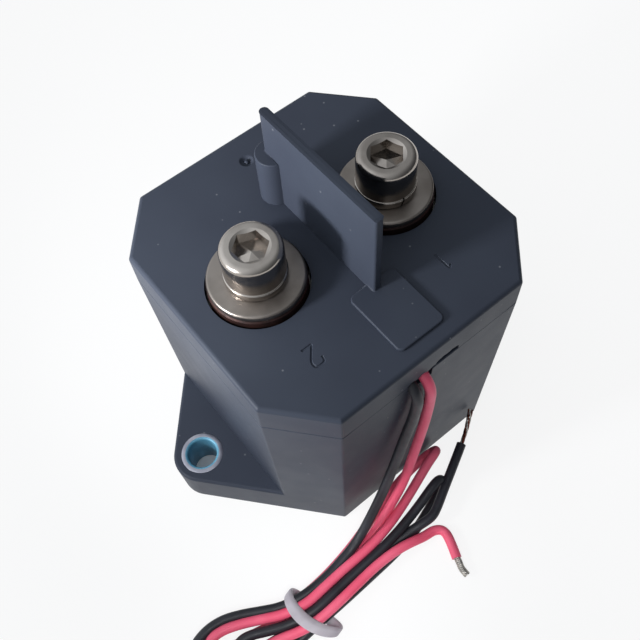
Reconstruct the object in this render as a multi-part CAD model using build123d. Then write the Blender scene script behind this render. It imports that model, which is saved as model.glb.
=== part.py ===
from build123d import *
import math
import os

# Sealed high voltage dc contactor with two bolted power terminals and two coil leads.
# Millimetres, +Z up. The origin is the centre of the base. The power terminals lie along X,
# terminal 1 at +X and terminal 2 at -X, and the coil leads leave the case on the -Y side.

# How far a cutting form passes the face that it cuts, and a joined form reaches into its neighbour
cut = 1.0
join = 0.5

# Case walls
wall = 2.2
floor_thickness = 2.5
top_wall = 2.5
skirt_height = 8.1
base_inset = 1.5
corner_length = 10.4
corner_width = 11.9
case_edge_radius = 0.8
cover_edge_radius = 1.0
seam_chamfer = 0.25
lip_depth = 3.0
lip_thickness = 1.3
lip_clearance = 0.2

# Mounting ears
ear_height = 12.0
ear_wall = 1.65
ear_edge_radius = 0.8
bushing_outer = 10.4
bushing_bore = 7.0
bushing_chamfer = 0.35

# Power terminals
terminal_spacing = 33.5
post_head_diameter = 20.4
post_head_gap = 0.5
post_neck_diameter = 13.0
post_proud = 1.4
post_edge = 0.3
thread_diameter = 8.0
thread_clearance = 0.05
thread_depth = 14.0
post_end_thickness = 4.0
washer_outer = 20.0
washer_bore = 8.4
washer_thickness = 1.6
washer_edge = 0.4
spring_washer_outer = 14.4
spring_washer_bore = 8.2
spring_washer_thickness = 2.0
spring_washer_gap = 0.7
spring_washer_slant = 25
screw_length = 16.0
screw_head_diameter = 13.0
screw_head_height = 8.0
screw_head_edge = 0.7
socket_across_flats = 6.0
socket_depth = 4.0
socket_mouth = 7.6
drill_point_depth = 0.9
drill_flat = 0.8

# Barrier, boss, pad and dimple on the cover
barrier_length = 34.0
barrier_thickness = 1.9
barrier_height = 23.4
barrier_corner = 0.5
barrier_top_edge = 0.25
boss_radius = 3.6
boss_height = 12.5
boss_setback = 15.3
pad_length = 11.6
pad_width = 15.4
pad_height = 0.6
pad_corner = 1.4
pad_setback = 22.5
dimple_diameter = 3.4
dimple_depth = 0.7
dimple_setback = 26.4
gate_mark_radius = 0.6

# Lead slot in the joint between case and cover
slot_length = 13.6
slot_height = 0.9
notch_depth = 2.5
notch_margin = 0.5
scallop_radius = 1.1
scallop_count = 5

# Contacts and arc chamber
contact_gap = 1.8
contact_rest_gap = 0.03
over_travel = 0.5
bridge_overlap = 6.25
bridge_width = 12.0
bridge_thickness = 2.5
bridge_end_gap = 2.0
chamber_wall = 3.0
chamber_roof = 3.5
chamber_inner_width = 28.0
chamber_inner_height = 16.5
chamber_corner = 4.0
chamber_inner_corner = 1.5
weld_frame_height = 2.0
weld_frame_flange = 2.0
weld_frame_thickness = 0.8
base_plate_thickness = 1.2
base_plate_gap = 0.2
magnet_length = 26.0
magnet_thickness = 3.5
magnet_height = 14.0
magnet_yoke_thickness = 1.2
magnet_yoke_gap = 0.2
magnet_yoke_split = 1.0
magnet_yoke_bend = 2.5
yoke_to_case = 1.9
rib_height = 4.1
rib_thickness = 1.6
rib_length = 48.0

# Coil, core and plunger
yoke_thickness = 3.0
yoke_width = 34.0
yoke_bend = 1.8
yoke_plate_thickness = 3.5
yoke_plate_width = 40.0
tenon_width = 9.0
bobbin_height = 29.0
bobbin_flange_diameter = 43.0
bobbin_flange_thickness = 1.5
bobbin_tube_wall = 1.3
bobbin_side_gap = 0.75
winding_build = 8.4
winding_gap = 0.1
sleeve_outer = 19.8
sleeve_wall = 0.5
sleeve_gap = 0.15
core_gap = 0.05
core_length = 11.7
core_neck_diameter = 14.0
plunger_gap = 0.1
plunger_rest_gap = 0.05
buffer_thickness = 1.0
plunger_travel = 2.3
shaft_diameter = 4.0
shaft_clearance = 0.08
shaft_head_diameter = 7.0
shaft_head_height = 1.2
clip_thickness = 0.5
clip_diameter = 7.2
clip_gap = 0.3
groove_depth = 0.4
seat_diameter = 10.6
seat_thickness = 0.8
spring_well_diameter = 9.6
spring_well_depth = 5.5
return_wire = 0.8
return_turns = 4
contact_wire = 0.9
contact_turns = 3
spring_diameter = 8.2
spring_end_gap = 0.02

# Coil leads
lead_diameter = 2.4
lead_pitch = 3.0
lead_offset = -3.3
strand_diameter = 1.0
lead_bend = 3.4
lead_wall_gap = 1.9
lead_slack = 0.7
pin_size = 1.0
pin_height = 2.0
pin_depth = 3.0
pin_block_length = 12.0
pin_block_height = 4.0
pin_block_margin = 1.8
pin_block_root = 4.0
lead_sides = 8

# Vertical stack, from the base upwards
yoke_base = floor_thickness
bobbin_base = yoke_base + yoke_thickness
plate_base = bobbin_base + bobbin_height
plate_top = plate_base + yoke_plate_thickness
chamber_base = plate_top + weld_frame_height
chamber_ceiling = chamber_base + chamber_inner_height
chamber_top = chamber_ceiling + chamber_roof
cover_ceiling = chamber_top + rib_height
case_height = cover_ceiling + top_wall
seam_height = case_height - skirt_height
post_top = case_height + post_proud

# Contact stack, from the fixed contacts downwards
post_base = post_top - thread_depth - post_end_thickness
bridge_top = post_base - contact_gap
bridge_base = bridge_top - bridge_thickness
plunger_base = bobbin_base + sleeve_wall + buffer_thickness + plunger_rest_gap
core_base = plate_base - core_length
plunger_top = core_base - plunger_travel
clip_base = plate_top + base_plate_thickness + clip_gap
seat_base = clip_base + clip_thickness
seat_top = seat_base + seat_thickness

# Plan sizes that follow from what the case holds
bridge_length = terminal_spacing + 2 * bridge_overlap
chamber_length = bridge_length + 2 * bridge_end_gap + 2 * chamber_wall
chamber_width = chamber_inner_width + 2 * chamber_wall
yoke_loop_length = chamber_length + 2 * magnet_yoke_gap + 2 * magnet_yoke_thickness
case_length = yoke_loop_length + 2 * yoke_to_case + 2 * wall
case_width = 67.5
draft = math.degrees(math.atan(base_inset / seam_height))

# The ears run on from the case's cut corners until they meet on the X axis. The bushings stand as
# far out as the wall round them allows, at a spacing in whole tenths, as on a drawing.
corner_angle = math.atan2(corner_width, corner_length)
ear_meet = case_length / 2 + (case_width / 2 - corner_width) / math.tan(corner_angle)
ear_meet_base = ear_meet - base_inset / math.sin(corner_angle)
ear_hole_reach = ear_meet_base - (bushing_outer / 2 + ear_wall) / math.sin(corner_angle)
ear_hole_spacing = round(2 * ear_hole_reach, 1)

# Coil and yoke sizes
bobbin_tube_outer = sleeve_outer + 2 * sleeve_gap + 2 * bobbin_tube_wall
yoke_inner = bobbin_flange_diameter + 2 * bobbin_side_gap
yoke_plate_length = chamber_length + 2 * weld_frame_flange

# Where the leads pass the wall
lead_z = seam_height - notch_depth + lead_diameter / 2
wall_outer = case_width / 2
lead_inner_y = -(wall_outer - base_inset - wall - lead_wall_gap)
lead_x = {"red": lead_offset + lead_pitch / 2, "black": lead_offset - lead_pitch / 2}
pin_base = plate_base - pin_depth
pin_top = plate_base + pin_height

os.makedirs("parts", exist_ok=True)


def save(name, *solids):
    """Write one node, a single solid or a group of separate solids."""
    shape = solids[0] if len(solids) == 1 else Compound(children=list(solids))
    export_step(shape, f"parts/{name}.step")


def solid(shape):
    """The one solid of a finished piece."""
    return shape.solids()[0]


def cylinder(diameter, bottom, top, x=0.0, y=0.0):
    """An upright cylinder between two heights."""
    disc = Plane.XY.offset(bottom) * Pos(x, y) * Circle(diameter / 2)
    return extrude(disc, top - bottom)


def block(x_size, y_size, bottom, top, x=0.0, y=0.0):
    """An upright block between two heights."""
    face = Plane.XY.offset(bottom) * Pos(x, y) * Rectangle(x_size, y_size)
    return extrude(face, top - bottom)


def rounded_block(x_size, y_size, corner, bottom, top, x=0.0, y=0.0):
    """An upright block with rounded vertical corners."""
    face = Plane.XY.offset(bottom) * Pos(x, y) * RectangleRounded(x_size, y_size, corner)
    return extrude(face, top - bottom)


def case_outline(inset=0.0):
    """The rectangle with cut corners that the case has in plan."""
    x, y = case_length / 2, case_width / 2
    cut_x, cut_y = x - corner_length, y - corner_width
    outline = Polygon(
        (cut_x, -y), (x, -cut_y), (x, cut_y), (cut_x, y),
        (-cut_x, y), (-x, cut_y), (-x, -cut_y), (-cut_x, -y), align=None,
    )
    return outline if inset == 0 else offset(outline, -inset, kind=Kind.INTERSECTION)


def inset_at(height):
    """How far the drafted case wall lies inside its outline at a height."""
    return base_inset * (1 - height / seam_height)


def ear_outline():
    """The foot in plan: the cut corners run on to a rounded tip round each bushing."""
    x, y = case_length / 2 - corner_length, case_width / 2
    foot = Polygon((x, -y), (ear_meet, 0), (x, y), (-x, y), (-ear_meet, 0), (-x, -y), align=None)
    foot = offset(foot, -base_inset, kind=Kind.INTERSECTION)
    tips = foot.vertices().sort_by(Axis.X)
    tip_radius = (ear_meet_base - ear_hole_spacing / 2) * math.sin(corner_angle)
    return fillet([tips[0], tips[-1]], tip_radius)


def upright_edges(shape):
    """Edges that climb, away from the rounded ear tips."""
    climbing = [e for e in shape.edges() if abs((e @ 0).Z - (e @ 1).Z) > 1]
    return [e for e in climbing if abs((e @ 0.5).Y) > case_width / 8]


def lead_notch(bottom, top):
    """Room in the -Y wall for the two leads, side by side."""
    length = lead_pitch + lead_diameter + 2 * notch_margin
    inner = lead_inner_y + lead_diameter / 2
    outer = -wall_outer - cut
    return block(length, inner - outer, bottom, top, x=lead_offset, y=(inner + outer) / 2)


def make_housing():
    """Moulded cup with a drafted wall and two solid mounting ears."""
    cup = extrude(case_outline(base_inset), seam_height, taper=-draft)
    cup = fillet(upright_edges(cup), case_edge_radius)
    cup = chamfer(cup.faces().sort_by(Axis.Z)[-1].edges(), seam_chamfer)
    foot = extrude(ear_outline(), ear_height, taper=-draft)
    foot = fillet(upright_edges(foot), case_edge_radius)
    foot = fillet(foot.faces().sort_by(Axis.Z)[-1].edges(), ear_edge_radius)
    cavity_floor = Plane.XY.offset(floor_thickness)
    cavity = extrude(
        cavity_floor * case_outline(inset_at(floor_thickness) + wall),
        seam_height - floor_thickness, taper=-draft,
    )
    housing = cup + foot - cavity
    for side in (-1, 1):
        housing -= cylinder(bushing_outer, -cut, ear_height + cut, x=side * ear_hole_spacing / 2)
    housing -= lead_notch(seam_height - notch_depth, seam_height + cut)
    return solid(housing)


def make_bushing(x):
    """Zinc plated steel sleeve that takes the mounting bolt's load."""
    tube = cylinder(bushing_outer, 0, ear_height, x=x) - cylinder(bushing_bore, -cut, ear_height + cut, x=x)
    between = (bushing_outer + bushing_bore) / 4
    rims = [e for e in tube.edges() if e.geom_type == GeomType.CIRCLE and e.radius < between]
    return solid(chamfer(rims, bushing_chamfer))


def make_barrier():
    """Insulating wall between the terminals, round at the far end and square at the near end."""
    start = case_height - join
    half = barrier_length / 2
    plan = Rectangle(barrier_thickness, barrier_length - barrier_thickness / 2)
    plan = Pos(0, -barrier_thickness / 4) * plan
    near = plan.vertices().group_by(Axis.Y)[0]
    plan = fillet(near, barrier_corner)
    plan += Pos(0, half - barrier_thickness / 2) * Circle(barrier_thickness / 2)
    wall_plate = extrude(Plane.XY.offset(start) * plan, barrier_height + join)
    top = wall_plate.faces().sort_by(Axis.Z)[-1]
    return fillet(top.edges(), barrier_top_edge)


def make_cover():
    """Moulded cover: top wall with skirt, inner lip, barrier, boss, pad and terminal holes."""
    skin = extrude(Plane.XY.offset(seam_height) * case_outline(), skirt_height)
    skin = fillet(upright_edges(skin), case_edge_radius)
    skin = fillet(skin.faces().sort_by(Axis.Z)[-1].edges(), cover_edge_radius)
    inside = case_outline(wall + lip_clearance + lip_thickness)
    hollow = extrude(Plane.XY.offset(seam_height) * inside, cover_ceiling - seam_height)
    lip_ring = case_outline(wall + lip_clearance) - inside
    lip = extrude(Plane.XY.offset(seam_height - lip_depth) * lip_ring, lip_depth)
    cover = skin - hollow + lip
    cover += make_barrier()
    cover += cylinder(2 * boss_radius, case_height - join, case_height + boss_height, y=boss_setback)
    cover += rounded_block(
        pad_length, pad_width, pad_corner, case_height - join, case_height + pad_height, y=-pad_setback,
    )
    for side in (-1, 1):
        x = side * terminal_spacing / 2
        cover -= cylinder(post_head_diameter + 2 * post_head_gap, cover_ceiling - cut, case_height + cut, x=x)
        rib_y = side * (post_head_diameter / 2 + 2 * post_head_gap + rib_thickness / 2)
        cover += block(rib_length, rib_thickness, chamber_top, cover_ceiling + join, y=rib_y)
    cover -= make_dimple()
    cover += Pos(0, dimple_setback, case_height - dimple_depth) * Sphere(gate_mark_radius)
    cover -= lead_notch(seam_height - lip_depth - cut, seam_height)
    cover -= make_slot()
    return solid(cover)


def make_dimple():
    """Shallow round hollow in the cover, round the moulding's gate mark."""
    ball_radius = (dimple_diameter ** 2 / 4 + dimple_depth ** 2) / (2 * dimple_depth)
    return Pos(0, dimple_setback, case_height + ball_radius - dimple_depth) * Sphere(ball_radius)


def make_slot():
    """Narrow slot along the cover's lower edge, with the scalloped upper edge that the real one has."""
    depth = wall + lip_clearance + lip_thickness + cut
    y = -wall_outer - cut / 2 + depth / 2
    slot = block(slot_length, depth, seam_height - cut, seam_height + slot_height / 2, y=y)
    pitch = slot_length / scallop_count
    for number in range(scallop_count):
        x = (number + 0.5) * pitch - slot_length / 2
        centre = Pos(x, y + depth / 2, seam_height + slot_height - scallop_radius)
        round_end = Cylinder(scallop_radius, depth, align=(Align.CENTER, Align.CENTER, Align.MIN))
        slot += centre * Rot(90, 0, 0) * round_end
    return slot


def make_post(x):
    """Copper terminal post with a wide head, a neck through the chamber roof and a tapped hole."""
    post = cylinder(post_head_diameter, chamber_top, post_top, x=x)
    post += cylinder(post_neck_diameter, post_base, chamber_top, x=x)
    post = chamfer(post.faces().sort_by(Axis.Z)[-1].edges(), post_edge)
    return solid(post - cylinder(thread_diameter, post_top - thread_depth, post_top + cut, x=x))


def make_flat_washer(x):
    """Wide flat washer with broken outer edges."""
    top = post_top + washer_thickness
    washer = cylinder(washer_outer, post_top, top, x=x)
    washer = chamfer(washer.edges().filter_by(GeomType.CIRCLE), washer_edge)
    return solid(washer - cylinder(washer_bore, post_top - cut, top + cut, x=x))


def make_spring_washer(x, split_angle):
    """Split lock washer, flattened by the screw, with its slanted cut."""
    bottom = post_top + washer_thickness
    top = bottom + spring_washer_thickness
    ring = cylinder(spring_washer_outer, bottom, top, x=x)
    ring -= cylinder(spring_washer_bore, bottom - cut, top + cut, x=x)
    split = Box(spring_washer_outer, spring_washer_gap, 4 * spring_washer_thickness)
    split = Pos(spring_washer_outer / 2, 0, 0) * Rot(spring_washer_slant, 0, 0) * split
    return solid(ring - Pos(x, 0, (bottom + top) / 2) * Rot(0, 0, split_angle) * split)


def make_terminal_screw(x, turn):
    """Socket head cap screw with a hexagon socket."""
    head_base = post_top + washer_thickness + spring_washer_thickness
    head_top = head_base + screw_head_height
    head = cylinder(screw_head_diameter, head_base, head_top, x=x)
    head = chamfer(head.edges().sort_by(Axis.Z)[-1], screw_head_edge)
    shank = cylinder(thread_diameter - 2 * thread_clearance, head_base - screw_length, head_base, x=x)
    hexagon = RegularPolygon(socket_across_flats / 2, 6, major_radius=False, rotation=turn)
    socket = extrude(Plane.XY.offset(head_top - socket_depth) * Pos(x, 0) * hexagon, socket_depth + cut)
    downwards = (Align.CENTER, Align.CENTER, Align.MAX)
    drill_point = Cone(drill_flat / 2, socket_across_flats / 2, drill_point_depth, align=downwards)
    mouth = Cone(0, socket_mouth / 2, socket_mouth / 2, align=downwards)
    screw = head + shank - socket
    screw -= Pos(x, 0, head_top - socket_depth) * drill_point
    return solid(screw - Pos(x, 0, head_top) * mouth)


def make_chamber():
    """Ceramic arc chamber, open below, with the two posts through its roof."""
    chamber = rounded_block(chamber_length, chamber_width, chamber_corner, chamber_base, chamber_top)
    inner_length = chamber_length - 2 * chamber_wall
    chamber -= rounded_block(
        inner_length, chamber_inner_width, chamber_inner_corner, chamber_base - cut, chamber_ceiling,
    )
    for side in (-1, 1):
        x = side * terminal_spacing / 2
        chamber -= cylinder(post_neck_diameter, chamber_ceiling - cut, chamber_top + cut, x=x)
    return solid(chamber)


def make_weld_frame():
    """Thin metal frame brazed under the chamber and welded to the yoke plate."""
    skirt = rounded_block(chamber_length, chamber_width, chamber_corner, plate_top, chamber_base)
    flange = rounded_block(
        chamber_length + 2 * weld_frame_flange, chamber_width + 2 * weld_frame_flange,
        chamber_corner + weld_frame_flange, plate_top, plate_top + weld_frame_thickness,
    )
    inner = rounded_block(
        chamber_length - 2 * weld_frame_thickness, chamber_width - 2 * weld_frame_thickness,
        chamber_corner - weld_frame_thickness, plate_top - cut, chamber_base + cut,
    )
    return solid(skirt + flange - inner)


def make_base_plate():
    """Insulating plate that lines the chamber's floor and clears the spring seat."""
    gap = weld_frame_thickness + base_plate_gap
    plate = rounded_block(
        chamber_length - 2 * gap, chamber_width - 2 * gap, chamber_corner - gap,
        plate_top, plate_top + base_plate_thickness,
    )
    return solid(plate - cylinder(seat_diameter + 2 * base_plate_gap, plate_top - cut, chamber_base))


def make_bridge():
    """Moving copper contact bar, round at both ends, loose on the shaft."""
    plan = SlotOverall(bridge_length, bridge_width)
    bar = extrude(Plane.XY.offset(bridge_base) * plan, bridge_thickness)
    return solid(bar - cylinder(shaft_diameter + 2 * shaft_clearance, bridge_base - cut, bridge_top + cut))


def make_magnet(side):
    """Block magnet beside the chamber that drives the arc outwards."""
    y = side * (chamber_width / 2 + magnet_thickness / 2)
    middle = (chamber_base + chamber_top) / 2
    low, high = middle - magnet_height / 2, middle + magnet_height / 2
    return solid(block(magnet_length, magnet_thickness, low, high, y=y))


def bent_block(x_size, y_size, bend, bottom, top, y, side):
    """An upright block whose two corners on one side are rounded, as bent strip is."""
    face = Pos(0, y) * Rectangle(x_size, y_size)
    corners = face.vertices().group_by(Axis.Y)[-1 if side > 0 else 0]
    return extrude(Plane.XY.offset(bottom) * fillet(corners, bend), top - bottom)


def make_magnet_yoke(side):
    """U shaped steel strip that holds one magnet against the chamber."""
    middle = (chamber_base + chamber_top) / 2
    low, high = middle - magnet_height / 2, middle + magnet_height / 2
    depth = chamber_width / 2 + magnet_thickness + magnet_yoke_thickness - magnet_yoke_split / 2
    y = side * (magnet_yoke_split / 2 + depth / 2)
    strip = bent_block(yoke_loop_length, depth, magnet_yoke_bend, low, high, y, side)
    inside = depth - magnet_yoke_thickness
    y_inside = side * (magnet_yoke_split / 2 + inside / 2 - cut)
    room = bent_block(
        yoke_loop_length - 2 * magnet_yoke_thickness, inside + 2 * cut, magnet_yoke_bend - magnet_yoke_thickness,
        low - cut, high + cut, y_inside, side,
    )
    return solid(strip - room)


def make_yoke_frame():
    """U shaped steel frame round the coil, with a tenon on top of each arm."""
    length = yoke_inner + 2 * yoke_thickness
    frame = block(length, yoke_width, yoke_base, plate_base)
    frame -= block(yoke_inner, yoke_width + 2 * cut, bobbin_base, plate_base + cut)
    lower = [e for e in frame.edges().group_by(Axis.Z)[0] if abs(e.center().X) > yoke_inner / 2]
    frame = fillet(lower, yoke_bend)
    for side in (-1, 1):
        x = side * (length - yoke_thickness) / 2
        frame += block(yoke_thickness, tenon_width, plate_base - join, plate_top, x=x)
    return solid(frame)


def make_yoke_plate():
    """Steel plate that closes the magnetic circuit and carries the chamber and the core."""
    plate = rounded_block(yoke_plate_length, yoke_plate_width, chamber_corner, plate_base, plate_top)
    plate -= cylinder(core_neck_diameter, plate_base - cut, plate_top + cut)
    x = (yoke_inner + yoke_thickness) / 2
    for side in (-1, 1):
        plate -= block(yoke_thickness, tenon_width, plate_base - cut, plate_top + cut, x=side * x)
    return solid(plate)


def make_bobbin():
    """Plastic coil former: tube, two flanges and a block for the coil pins."""
    top = plate_base
    bobbin = cylinder(bobbin_tube_outer, bobbin_base, top)
    bobbin += cylinder(bobbin_flange_diameter, bobbin_base, bobbin_base + bobbin_flange_thickness)
    bobbin += cylinder(bobbin_flange_diameter, top - bobbin_flange_thickness, top)
    block_end = lead_inner_y - pin_block_margin
    block_start = -bobbin_flange_diameter / 2 + pin_block_root
    bobbin += block(
        pin_block_length, block_start - block_end, top - pin_block_height, top,
        x=lead_offset, y=(block_start + block_end) / 2,
    )
    winding_end = -bobbin_tube_outer / 2 - winding_build - winding_gap
    clear = block(
        pin_block_length + 2 * cut, winding_build,
        top - pin_block_height - cut, top - bobbin_flange_thickness,
        x=lead_offset, y=winding_end + winding_build / 2,
    )
    bobbin -= clear - cylinder(bobbin_tube_outer, bobbin_base, top)
    for x in lead_x.values():
        bobbin -= block(pin_size, pin_size, pin_base, top + cut, x=x, y=lead_inner_y)
    bore = sleeve_outer + 2 * sleeve_gap
    return solid(bobbin - cylinder(bore, bobbin_base - cut, top + cut))


def make_winding():
    """Enamelled copper wire wound on the former, taped round as one body."""
    inner = bobbin_tube_outer + 2 * winding_gap
    low = bobbin_base + bobbin_flange_thickness
    high = plate_base - bobbin_flange_thickness
    outer = bobbin_tube_outer + 2 * winding_build
    return solid(cylinder(outer, low, high) - cylinder(inner, low - cut, high + cut))


def make_sleeve():
    """Thin stainless cup that seals the plunger in, brazed under the yoke plate."""
    cup = cylinder(sleeve_outer, bobbin_base, plate_base)
    return solid(cup - cylinder(sleeve_outer - 2 * sleeve_wall, bobbin_base + sleeve_wall, plate_base + cut))


def make_core():
    """Fixed iron core, necked into the yoke plate, with a well for the return spring."""
    outer = sleeve_outer - 2 * sleeve_wall - 2 * core_gap
    core = cylinder(outer, core_base, plate_base) + cylinder(core_neck_diameter, plate_base, plate_top)
    core -= cylinder(spring_well_diameter, core_base - cut, core_base + spring_well_depth)
    return solid(core - cylinder(shaft_diameter + 2 * shaft_clearance, core_base, plate_top + cut))


def make_plunger():
    """Moving iron plunger, pressed on the shaft, with a well for the return spring."""
    outer = sleeve_outer - 2 * sleeve_wall - 2 * plunger_gap
    plunger = cylinder(outer, plunger_base, plunger_top)
    plunger -= cylinder(spring_well_diameter, plunger_top - spring_well_depth, plunger_top + cut)
    return solid(plunger - cylinder(shaft_diameter, plunger_base - cut, plunger_top + cut))


def make_shaft():
    """Shaft from the plunger to the bridge, with a head on top and a groove for the clip."""
    shaft = cylinder(shaft_diameter, plunger_base, bridge_top)
    shaft += cylinder(shaft_head_diameter, bridge_top + contact_rest_gap, bridge_top + shaft_head_height)
    shaft += cylinder(shaft_diameter, bridge_top, bridge_top + shaft_head_height)
    groove = cylinder(shaft_diameter + 2 * cut, clip_base, seat_base)
    groove -= cylinder(shaft_diameter - 2 * groove_depth, clip_base - cut, seat_base + cut)
    return solid(shaft - groove)


def make_clip():
    """Open retaining ring in the shaft's groove, under the spring seat."""
    clip = cylinder(clip_diameter, clip_base, seat_base)
    clip -= cylinder(shaft_diameter - 2 * groove_depth, clip_base - cut, seat_base + cut)
    mouth = shaft_diameter - 3 * groove_depth
    return solid(clip - block(clip_diameter, mouth, clip_base - cut, seat_base + cut, x=clip_diameter / 2))


def make_seat():
    """Washer that carries the contact spring."""
    seat = cylinder(seat_diameter, seat_base, seat_top)
    return solid(seat - cylinder(shaft_diameter, seat_base - cut, seat_top + cut))


def make_buffer():
    """Rubber disc under the plunger that softens its return."""
    diameter = sleeve_outer - 2 * sleeve_wall - 4 * plunger_gap
    low = bobbin_base + sleeve_wall
    return solid(cylinder(diameter, low, low + buffer_thickness))


def make_spring(wire, turns, low, high):
    """Compression spring of square wire between two faces."""
    start = low + wire / 2 + spring_end_gap
    height = high - low - wire - 2 * spring_end_gap
    radius = (spring_diameter - wire) / 2
    path = Helix(height / turns, height, radius)
    section = Plane(origin=path @ 0, x_dir=(1, 0, 0), z_dir=path % 0) * Rectangle(wire, wire)
    return solid(Pos(0, 0, start) * sweep(section, path=path, is_frenet=True))


def make_pin(x):
    """Square coil pin that is set in the former's block and meets its lead."""
    return solid(block(pin_size, pin_size, pin_base, pin_top, x=x, y=lead_inner_y))


def bend_radii(points, tight=()):
    """The largest arc that each corner's two runs allow, with the few tight corners given apart."""
    radii = []
    for number in range(1, len(points) - 1):
        before = Vector(*points[number]) - Vector(*points[number - 1])
        after = Vector(*points[number + 1]) - Vector(*points[number])
        turn = math.radians(before.get_angle(after))
        radius = 0.45 * min(before.length, after.length) / math.tan(turn / 2)
        radii.append(dict(tight).get(number, radius))
    return radii


def make_tube(name, points, diameter, tight=()):
    """A lead's stretch: straight runs joined by tangent arcs, swept with a plain many-sided section."""
    radii = bend_radii(points, tight)
    route = FilletPolyline(*points, radius=radii)
    section = Plane(origin=route @ 0, z_dir=route % 0) * RegularPolygon(diameter / 2, lead_sides)
    tube = solid(sweep(section, path=route))
    share = tube.volume / (section.area * route.length)
    print(name, "arc radii", [round(r, 1) for r in radii])
    print(name, "length", round(route.length, 1), "filled share", round(share, 4))
    return tube


# The leads outside the case, on the floor in front of it. Each list is one lead's route.
exit_y = -(wall_outer + lead_bend)
drop_routes = {
    "black": [(-4.9, -37.3, 45), (-6.2, -37.0, 32.5), (-9.3, -37.1, 20.5), (-14.0, -37.9, 10), (-21, -38.8, 4.6)],
    "red": [(-0.8, -36.4, 46), (-1.7, -36.1, 33.5), (-3.9, -36.6, 22), (-7.6, -38.2, 12), (-14, -40.2, 4.6)],
}
end_routes = {
    "black": [(-9.5, -46.2, 1.7), (-3.6, -46.2, 2.1), (1.8, -43.9, 2.8), (6.6, -40.9, 4.0), (11.5, -38.2, 5.4)],
    "red": [
        (-16.8, -46.6, 1.4), (-12.2, -48.7, 1.4), (-7.6, -49.2, 1.6), (-6.1, -51.4, 1.5),
        (-7.2, -55.0, 1.4), (-8.3, -57.6, 1.3),
    ],
}
strand_tips = {"black": (17.4, -34.5, 7.6), "red": (-9.4, -62.6, 1.1)}
strand_start = 1.2

# The tied hank, in plan, and the tie round it
hank_outline = [
    (-73.3, -38.0), (-71.4, -33.0), (-67.0, -30.8), (-60.3, -31.6), (-46.5, -39.9), (-38, -39.4),
    (-20, -36.2), (3, -33.2), (8.2, -34.6), (2.5, -40.6), (-0.5, -44.4), (-16, -48.0), (-38, -49.2),
    (-46.8, -49.3), (-60.5, -48.6), (-67.6, -47.6), (-72.4, -43.6),
]
hank_height = 5.2
hank_corner = 1.4
hank_edge = 0.9
tie_centre = (-43.4, -44.5)
tie_width = 2.5
tie_wall = 1.0
tie_inner_length = 10.8
tie_inner_height = 5.0


def make_lead(colour):
    """One coil lead, from its pin inside the case through the slot and down to the hank."""
    x = lead_x[colour]
    slack = (x, lead_inner_y + lead_slack, (pin_top + lead_z) / 2)
    inside = [(x, lead_inner_y, pin_top), slack, (x, lead_inner_y, lead_z), (x, exit_y, lead_z)]
    return make_tube(
        f"lead_{colour}", inside + drop_routes[colour], lead_diameter,
        tight=((2, lead_bend), (3, lead_bend)),
    )


def make_lead_end(colour):
    """The free end of a lead beyond the hank, as far as its insulation goes."""
    return make_tube(f"lead_{colour}_end", end_routes[colour], lead_diameter)


def make_strands(colour):
    """The bare tinned conductor beyond a lead's insulation."""
    before, start = [Vector(*point) for point in end_routes[colour][-2:]]
    middle = start + (start - before).normalized() * strand_start
    route = [tuple(start), tuple(middle), strand_tips[colour]]
    return make_tube(f"{colour}_lead_strands", route, strand_diameter)


def make_tie():
    """Loose nylon band round the hank's waist, resting on the floor."""
    outer_length = tie_inner_length + 2 * tie_wall
    outer_height = tie_inner_height + 2 * tie_wall
    middle = outer_height / 2
    plane = Plane(origin=(tie_centre[0] - tie_width / 2, tie_centre[1], middle), x_dir=(0, 1, 0), z_dir=(1, 0, 0))
    band = SlotOverall(outer_length, outer_height) - SlotOverall(tie_inner_length, tie_inner_height)
    return solid(extrude(plane * band, tie_width))


def make_hank(tie):
    """The folded middle of both leads as one closed body, held by the tie."""
    outline = Polygon(*hank_outline, align=None)
    outline = fillet(outline.vertices(), hank_corner)
    body = extrude(outline, hank_height, dir=(0, 0, 1))
    body = chamfer(body.faces().sort_by(Axis.Z)[-1].edges(), hank_edge)
    return solid(body - tie)


save("housing", make_housing())
save("top_cover", make_cover())
for name, side in (("left", -1), ("right", 1)):
    save(f"mounting_bushing_{name}", make_bushing(side * ear_hole_spacing / 2))

terminals = {1: terminal_spacing / 2, 2: -terminal_spacing / 2}
split_angles = {1: -48, 2: 130}
head_turns = {1: 8, 2: 22}
for number, x in terminals.items():
    save(f"terminal_post_{number}", make_post(x))
save("flat_washers", *[make_flat_washer(x) for x in terminals.values()])
save("spring_washers", *[make_spring_washer(x, split_angles[n]) for n, x in terminals.items()])
save("terminal_screws", *[make_terminal_screw(x, head_turns[n]) for n, x in terminals.items()])

save("arc_chamber", make_chamber())
save("chamber_weld_frame", make_weld_frame())
save("chamber_base_plate", make_base_plate())
save("moving_contact", make_bridge())
for name, side in (("front", -1), ("back", 1)):
    save(f"blowout_magnet_{name}", make_magnet(side))
    save(f"magnet_yoke_{name}", make_magnet_yoke(side))

save("yoke_frame", make_yoke_frame())
save("yoke_plate", make_yoke_plate())
save("coil_bobbin", make_bobbin())
save("coil_winding", make_winding())
save("coil_pins", *[make_pin(x) for x in lead_x.values()])
save("plunger_sleeve", make_sleeve())
save("fixed_core", make_core())
save("plunger", make_plunger())
save("plunger_shaft", make_shaft())
save("plunger_buffer", make_buffer())
save("retaining_clip", make_clip())
save("spring_seat", make_seat())
return_low, return_high = plunger_top - spring_well_depth, core_base + spring_well_depth
save("return_spring", make_spring(return_wire, return_turns, return_low, return_high))
save("contact_spring", make_spring(contact_wire, contact_turns, seat_top, bridge_base))

tie = make_tie()
save("cable_tie", tie)
save("lead_hank", make_hank(tie))
for colour in ("red", "black"):
    save(f"lead_{colour}", make_lead(colour))
    save(f"lead_{colour}_end", make_lead_end(colour))
    save(f"{colour}_lead_strands", make_strands(colour))
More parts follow.
